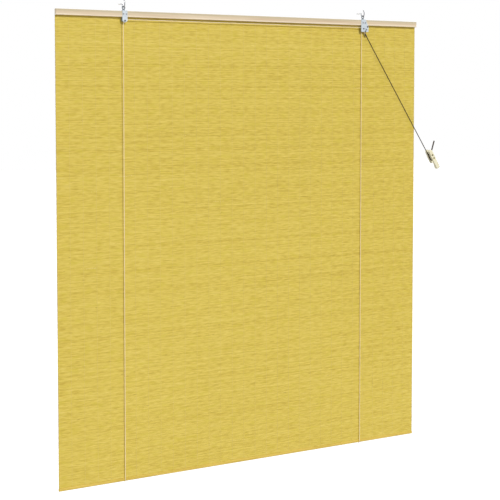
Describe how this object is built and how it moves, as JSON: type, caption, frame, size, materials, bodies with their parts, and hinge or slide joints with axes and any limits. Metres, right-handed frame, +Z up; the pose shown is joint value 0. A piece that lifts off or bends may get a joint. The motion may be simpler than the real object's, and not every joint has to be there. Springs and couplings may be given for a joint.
{
  "type": "bamboo roll-up blind",
  "caption": "Bamboo roll-up blind of fine horizontal reeds on a wooden head rail, hung from wall hooks and raised by cords over pulleys, through a cord lock, to a wall cleat.",
  "frame": {"origin": "on the wall face, midway between the two hook screws", "axes": "+X along the rail to the right as seen from the room, +Y into the wall, +Z up"},
  "size_m": [1.615, 0.059, 1.6396],
  "materials": {
    "rail_wood": "pale planed softwood",
    "bamboo": "natural satin",
    "zinc_plate": "zinc plated",
    "bright_steel": "bright",
    "nylon": "satin",
    "lift_cord": "twisted cord",
    "pull_cord": "braided cord",
    "cleat_wood": "smooth, waxed"
  },
  "bodies": {
    "blind": {"head_rail": "rail_wood", "bamboo_mat": "bamboo", "bottom_batten": "bamboo", "mat_staples": "bright_steel", "left_front_plate": "zinc_plate", "left_rear_plate": "zinc_plate", "left_pulley_pin": "bright_steel", "left_pulley_bush": "nylon", "right_front_plate": "zinc_plate", "right_rear_plate": "zinc_plate", "right_pulley_pin": "bright_steel", "guide_bar": "bright_steel", "spacer_post": "bright_steel", "bracket_rivets": "bright_steel", "left_hook": "bright_steel", "right_hook": "bright_steel", "cord_staples": "bright_steel", "cord_knots": "lift_cord", "left_lift_cord": "lift_cord", "right_lift_cord": "lift_cord", "cord_ferrule": "zinc_plate", "pull_cord": "pull_cord", "wall_cleat": "cleat_wood"},
    "left_sheave": {"left_pulley": "nylon"},
    "right_front_sheave": {"right_front_pulley": "nylon"},
    "right_rear_sheave": {"right_rear_pulley": "nylon"},
    "roller": {"lock_roller": "bright_steel"}
  },
  "joints": [
    {"name": "left_pulley_turn", "type": "hinge", "parent": "blind", "child": "left_sheave", "pos_m": [-0.5, -0.02015, -0.0575], "axis": [0, 1, 0], "continuous": true},
    {"name": "right_front_pulley_turn", "type": "hinge", "parent": "blind", "child": "right_front_sheave", "pos_m": [0.4975, -0.02015, -0.0575], "axis": [0, 1, 0], "continuous": true},
    {"name": "right_rear_pulley_turn", "type": "hinge", "parent": "blind", "child": "right_rear_sheave", "pos_m": [0.4975, -0.01585, -0.0575], "axis": [0, 1, 0], "continuous": true},
    {"name": "lock_roller_slide", "type": "slide", "parent": "blind", "child": "roller", "axis": [-0.7314, 0, 0.682], "range_m": [0, 0.0055]}
  ],
  "couplings": [
    {"joint": "right_front_pulley_turn", "follows": "left_pulley_turn", "ratio": 1},
    {"joint": "right_rear_pulley_turn", "follows": "left_pulley_turn", "ratio": 1}
  ]
}
